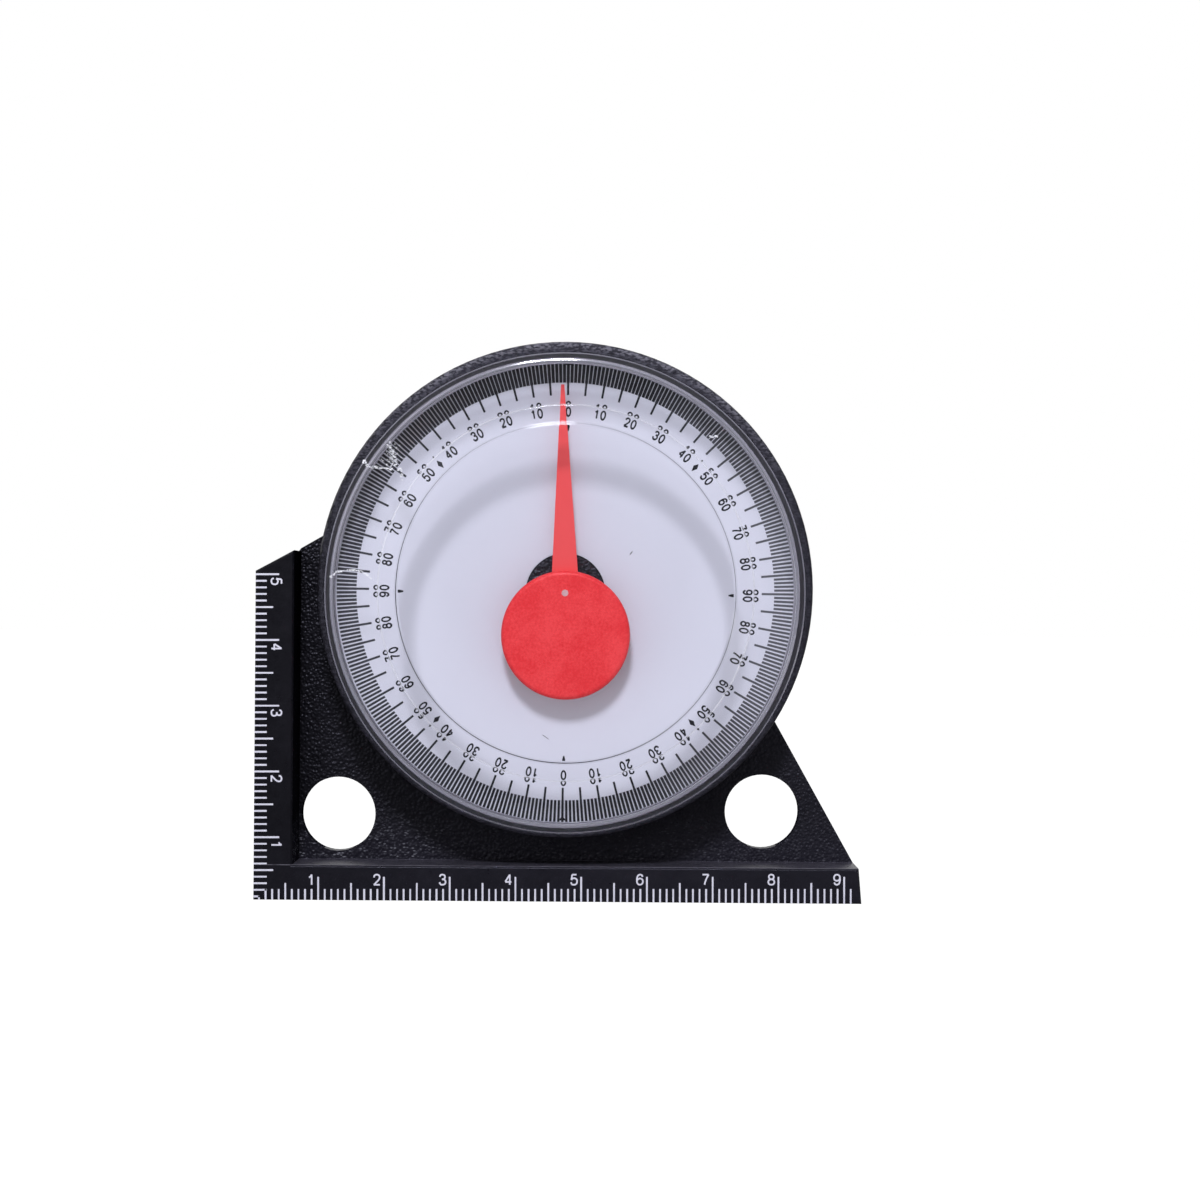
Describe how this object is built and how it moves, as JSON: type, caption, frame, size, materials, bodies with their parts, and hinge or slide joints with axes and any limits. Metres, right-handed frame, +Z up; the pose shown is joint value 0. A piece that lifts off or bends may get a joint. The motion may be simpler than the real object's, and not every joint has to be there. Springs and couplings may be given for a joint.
{
  "type": "inclinometer",
  "caption": "Pendulum inclinometer with a round degree dial under a clear cover, on a right-angled ruler frame with hanging holes and base magnets.",
  "frame": {"origin": "centre of the whole object's footprint, on the lower face of the base", "axes": "+Z up, +X along the base ruler towards its free end, -Y out of the dial towards the reader"},
  "size_m": [0.0926, 0.0262, 0.0852],
  "materials": {
    "frame_black": "moulded, finely pebbled",
    "plug_black": "moulded, smooth",
    "dial_white": "printed plate, satin",
    "tape_grey": "double-sided tape",
    "lens_clear": "clear styrene, polished",
    "needle_red": "dyed through, satin",
    "weight_red": "stoved paint, satin",
    "axle_steel": "drawn rod, bright",
    "clip_steel": "spring steel",
    "bearing_brass": "turned",
    "washer_white": "low-friction plastic",
    "magnet_grey": "sintered ferrite, ground",
    "keeper_steel": "mild steel strip"
  },
  "bodies": {
    "frame": {"housing": "frame_black", "boss_plug": "plug_black", "dial_plate": "dial_white", "dial_tape": "tape_grey", "lens_cover": "lens_clear", "bearing_sleeve": "bearing_brass", "thrust_washer": "washer_white", "base_magnet_1": "magnet_grey", "base_magnet_2": "magnet_grey", "base_magnet_3": "magnet_grey", "magnet_keeper": "keeper_steel"},
    "pendulum": {"pointer_needle": "needle_red", "pendulum_weight": "weight_red", "pivot_axle": "axle_steel", "hub_collar": "bearing_brass", "retaining_clip": "clip_steel"}
  },
  "joints": [
    {"name": "pendulum_swing", "type": "hinge", "parent": "frame", "child": "pendulum", "pos_m": [0.00082, 0.00255, 0.047], "axis": [0, 1, 0], "continuous": true}
  ]
}
